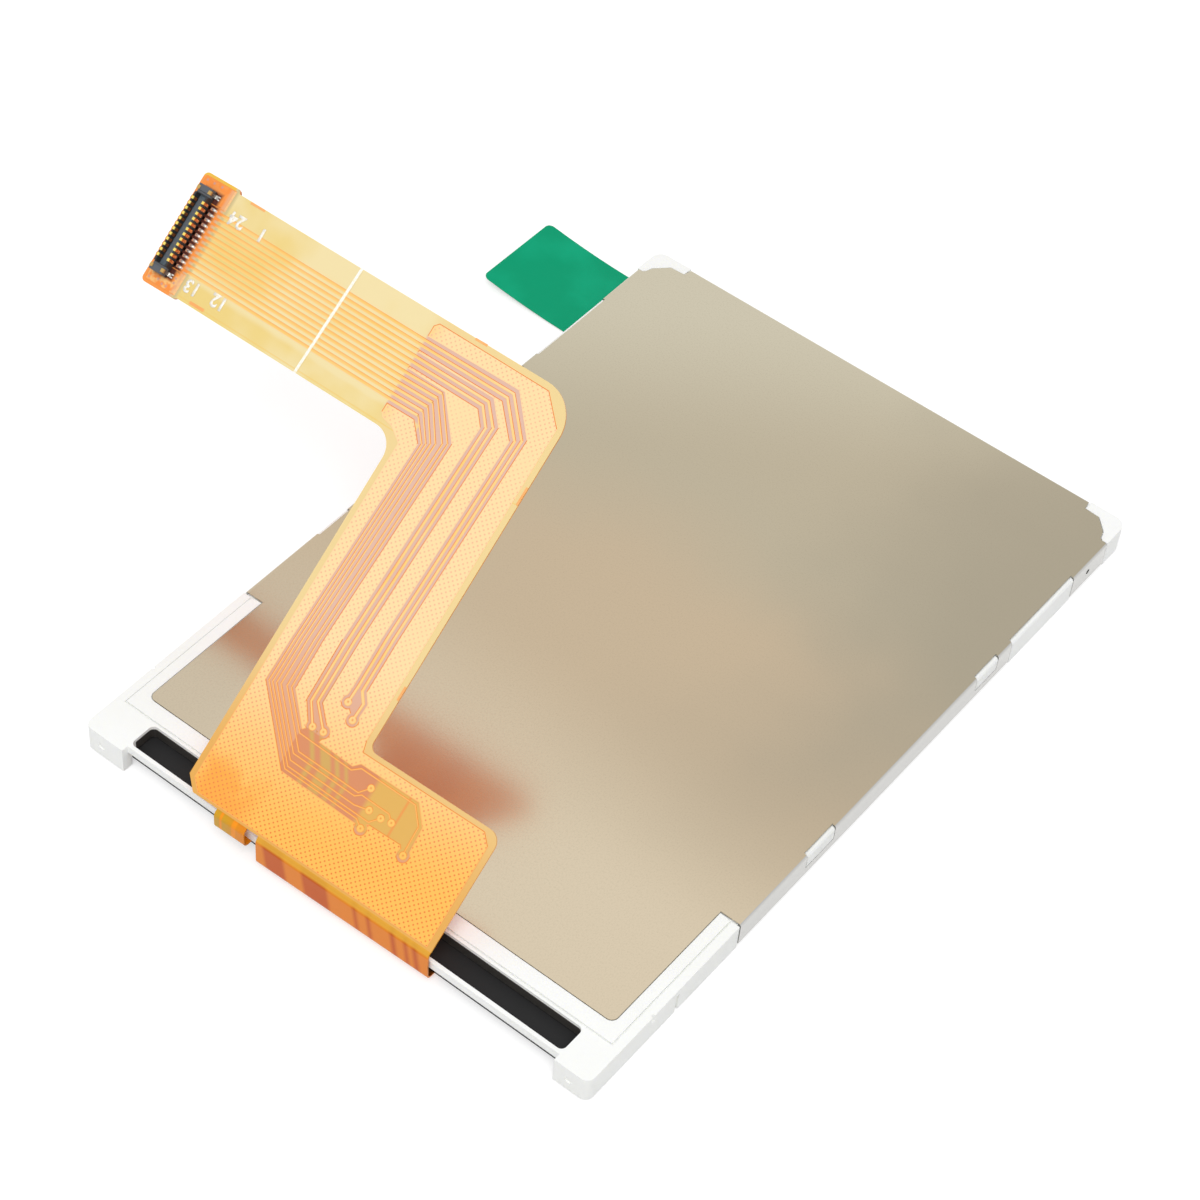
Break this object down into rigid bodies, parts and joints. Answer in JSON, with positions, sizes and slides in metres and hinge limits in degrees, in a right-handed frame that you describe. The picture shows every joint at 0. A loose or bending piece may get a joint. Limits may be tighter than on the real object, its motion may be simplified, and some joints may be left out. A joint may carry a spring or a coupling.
{
  "type": "lcd display module",
  "caption": "Small liquid crystal display module, face down, with metal back plate, white frame and a folded flexible circuit with connector.",
  "frame": {"origin": "middle of the module's footprint, on the front film that it lies on", "axes": "+X along the short side, +Y along the long side away from the flexible circuit's fold, +Z out of the metal back"},
  "size_m": [0.0562, 0.0619, 0.024],
  "materials": {
    "acrylic": "clear moulded",
    "amber_board": "satin",
    "amber_film": "glossy film",
    "black_moulding": "moulded",
    "black_tape": "satin black",
    "bond": "cured film",
    "clear_film": "clear film",
    "covered_copper": "under cover film",
    "diffuser": "matt",
    "gilt_contact": "plated",
    "green_tape": "satin tape",
    "led_resin": "moulded",
    "panel_glass": "polished",
    "polarizer": "anti-glare",
    "prism": "prismatic",
    "reflector": "white",
    "silicon": "polished silicon",
    "steel_plate": "matt rolled",
    "tinned_nail": "tinned",
    "white_moulding": "fine satin"
  },
  "bodies": {
    "root": {"bond_film": "bond", "colour_filter_glass": "panel_glass", "connector_body": "black_moulding", "connector_contacts": "gilt_contact", "connector_nails": "tinned_nail", "copper_pour": "covered_copper", "copper_traces": "covered_copper", "diffuser_film": "diffuser", "driver_chip": "silicon", "front_polarizer": "polarizer", "led_flex": "amber_film", "ledge_tape": "black_tape", "leds": "led_resin", "light_guide": "acrylic", "lower_prism_film": "prism", "main_flex": "amber_film", "mould_frame": "white_moulding", "protective_film": "clear_film", "pull_tab": "green_tape", "rear_can": "steel_plate", "rear_polarizer": "polarizer", "reflector_film": "reflector", "rim_tape": "black_tape", "stiffener": "amber_board", "tft_glass": "panel_glass", "upper_prism_film": "prism"}
  },
  "joints": []
}
